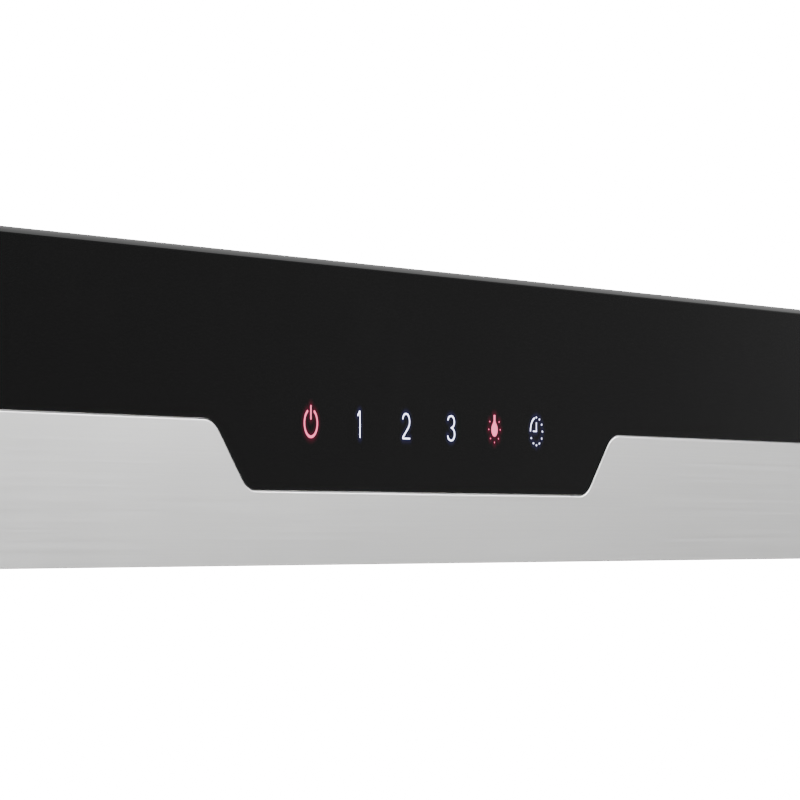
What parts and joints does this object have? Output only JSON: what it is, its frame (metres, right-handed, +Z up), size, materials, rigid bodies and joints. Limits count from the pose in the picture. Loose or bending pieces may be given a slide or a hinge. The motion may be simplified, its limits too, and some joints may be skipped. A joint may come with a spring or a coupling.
{
  "type": "island range hood",
  "caption": "Flat box island hood with a black glass touch band, steel fascia and telescopic square chimney hung from the ceiling.",
  "frame": {"origin": "centre of the ceiling plate's top face, where the hood meets the ceiling", "axes": "+Z up; +X to the right of a person facing the controls; the controls face -Y"},
  "size_m": [0.9, 0.7, 0.96],
  "materials": {
    "satin_steel": "satin brushed stainless steel",
    "filter_steel": "bright pressed stainless steel",
    "zinc_steel": "zinc-plated sheet steel",
    "black_glass": "black tempered glass, polished",
    "dark_plastic": "matt black moulding",
    "white_plastic": "white moulding",
    "clear_guide": "clear moulded light guide",
    "lamp_lens": "frosted diffuser",
    "circuit_board": "green laminate",
    "motor_enamel": "dark enamel",
    "damper_plate": "plain sheet",
    "cable_jacket": "matt black jacket"
  },
  "bodies": {
    "ceiling_frame": {"ceiling_plate": "zinc_steel", "upper_chimney": "satin_steel", "upper_rail_front_left": "zinc_steel", "upper_rail_front_right": "zinc_steel", "upper_rail_rear_left": "zinc_steel", "upper_rail_rear_right": "zinc_steel", "rail_bolt_front_left": "zinc_steel", "rail_bolt_front_right": "zinc_steel", "rail_bolt_rear_left": "zinc_steel", "rail_bolt_rear_right": "zinc_steel"},
    "canopy": {"canopy_shell": "satin_steel", "front_fascia": "satin_steel", "rear_fascia": "satin_steel", "bottom_pan": "satin_steel", "front_glass": "black_glass", "rear_glass": "black_glass", "blower_box": "zinc_steel", "scroll_wrap": "zinc_steel", "duct_collar": "zinc_steel", "power_box": "zinc_steel", "power_box_lid": "zinc_steel", "motor_bracket_front": "zinc_steel", "motor_bracket_rear": "zinc_steel", "lower_rail_front_left": "zinc_steel", "lower_rail_front_right": "zinc_steel", "lower_rail_rear_left": "zinc_steel", "lower_rail_rear_right": "zinc_steel", "scroll_side_left": "zinc_steel", "scroll_side_right": "zinc_steel", "damper_pin_left": "zinc_steel", "damper_pin_right": "zinc_steel", "lamp_housing_front_left": "zinc_steel", "lamp_housing_front_right": "zinc_steel", "lamp_housing_rear_left": "zinc_steel", "lamp_housing_rear_right": "zinc_steel", "control_housing": "dark_plastic", "cable_gland": "dark_plastic", "capacitor": "white_plastic", "light_guide": "clear_guide", "lamp_lens_front_left": "lamp_lens", "lamp_lens_front_right": "lamp_lens", "lamp_lens_rear_left": "lamp_lens", "lamp_lens_rear_right": "lamp_lens", "touch_board": "circuit_board", "power_board": "circuit_board", "motor_body": "motor_enamel", "control_cable": "cable_jacket"},
    "lower_cover": {"lower_chimney": "satin_steel"},
    "filter_left": {"filter_frame_left": "filter_steel", "filter_baffles_left": "filter_steel"},
    "latch_left": {"filter_latch_left": "dark_plastic"},
    "filter_right": {"filter_frame_right": "filter_steel", "filter_baffles_right": "filter_steel"},
    "latch_right": {"filter_latch_right": "dark_plastic"},
    "impeller": {"motor_shaft": "zinc_steel", "impeller_left": "zinc_steel", "impeller_right": "zinc_steel"},
    "damper_left": {"damper_flap_left": "damper_plate"},
    "damper_right": {"damper_flap_right": "damper_plate"}
  },
  "joints": [
    {"name": "height_slide", "type": "slide", "parent": "ceiling_frame", "child": "canopy", "axis": [0, 0, 1], "range_m": [-0.12, 0.14]},
    {"name": "chimney_lift", "type": "slide", "parent": "canopy", "child": "lower_cover", "axis": [0, 0, 1], "range_m": [0, 0.2]},
    {"name": "filter_left_tilt", "type": "hinge", "parent": "canopy", "child": "filter_left", "pos_m": [-0.16, 0.213, -0.9587], "axis": [1, 0, 0], "range_deg": [0, 75]},
    {"name": "latch_left_pull", "type": "slide", "parent": "filter_left", "child": "latch_left", "axis": [0, 1, 0], "range_m": [0, 0.006], "stiffness_N_per_m": 300, "springref_m": -0.004},
    {"name": "filter_right_tilt", "type": "hinge", "parent": "canopy", "child": "filter_right", "pos_m": [0.16, 0.213, -0.9587], "axis": [1, 0, 0], "range_deg": [0, 75]},
    {"name": "latch_right_pull", "type": "slide", "parent": "filter_right", "child": "latch_right", "axis": [0, 1, 0], "range_m": [0, 0.006], "stiffness_N_per_m": 300, "springref_m": -0.004},
    {"name": "impeller_spin", "type": "hinge", "parent": "canopy", "child": "impeller", "pos_m": [0, 0.005, -0.77525], "axis": [1, 0, 0], "continuous": true},
    {"name": "damper_left_swing", "type": "hinge", "parent": "canopy", "child": "damper_left", "pos_m": [-0.0045, 0, -0.6097], "axis": [0, 1, 0], "range_deg": [0, 80]},
    {"name": "damper_right_swing", "type": "hinge", "parent": "canopy", "child": "damper_right", "pos_m": [0.0045, 0, -0.6097], "axis": [0, -1, 0], "range_deg": [0, 80]}
  ]
}
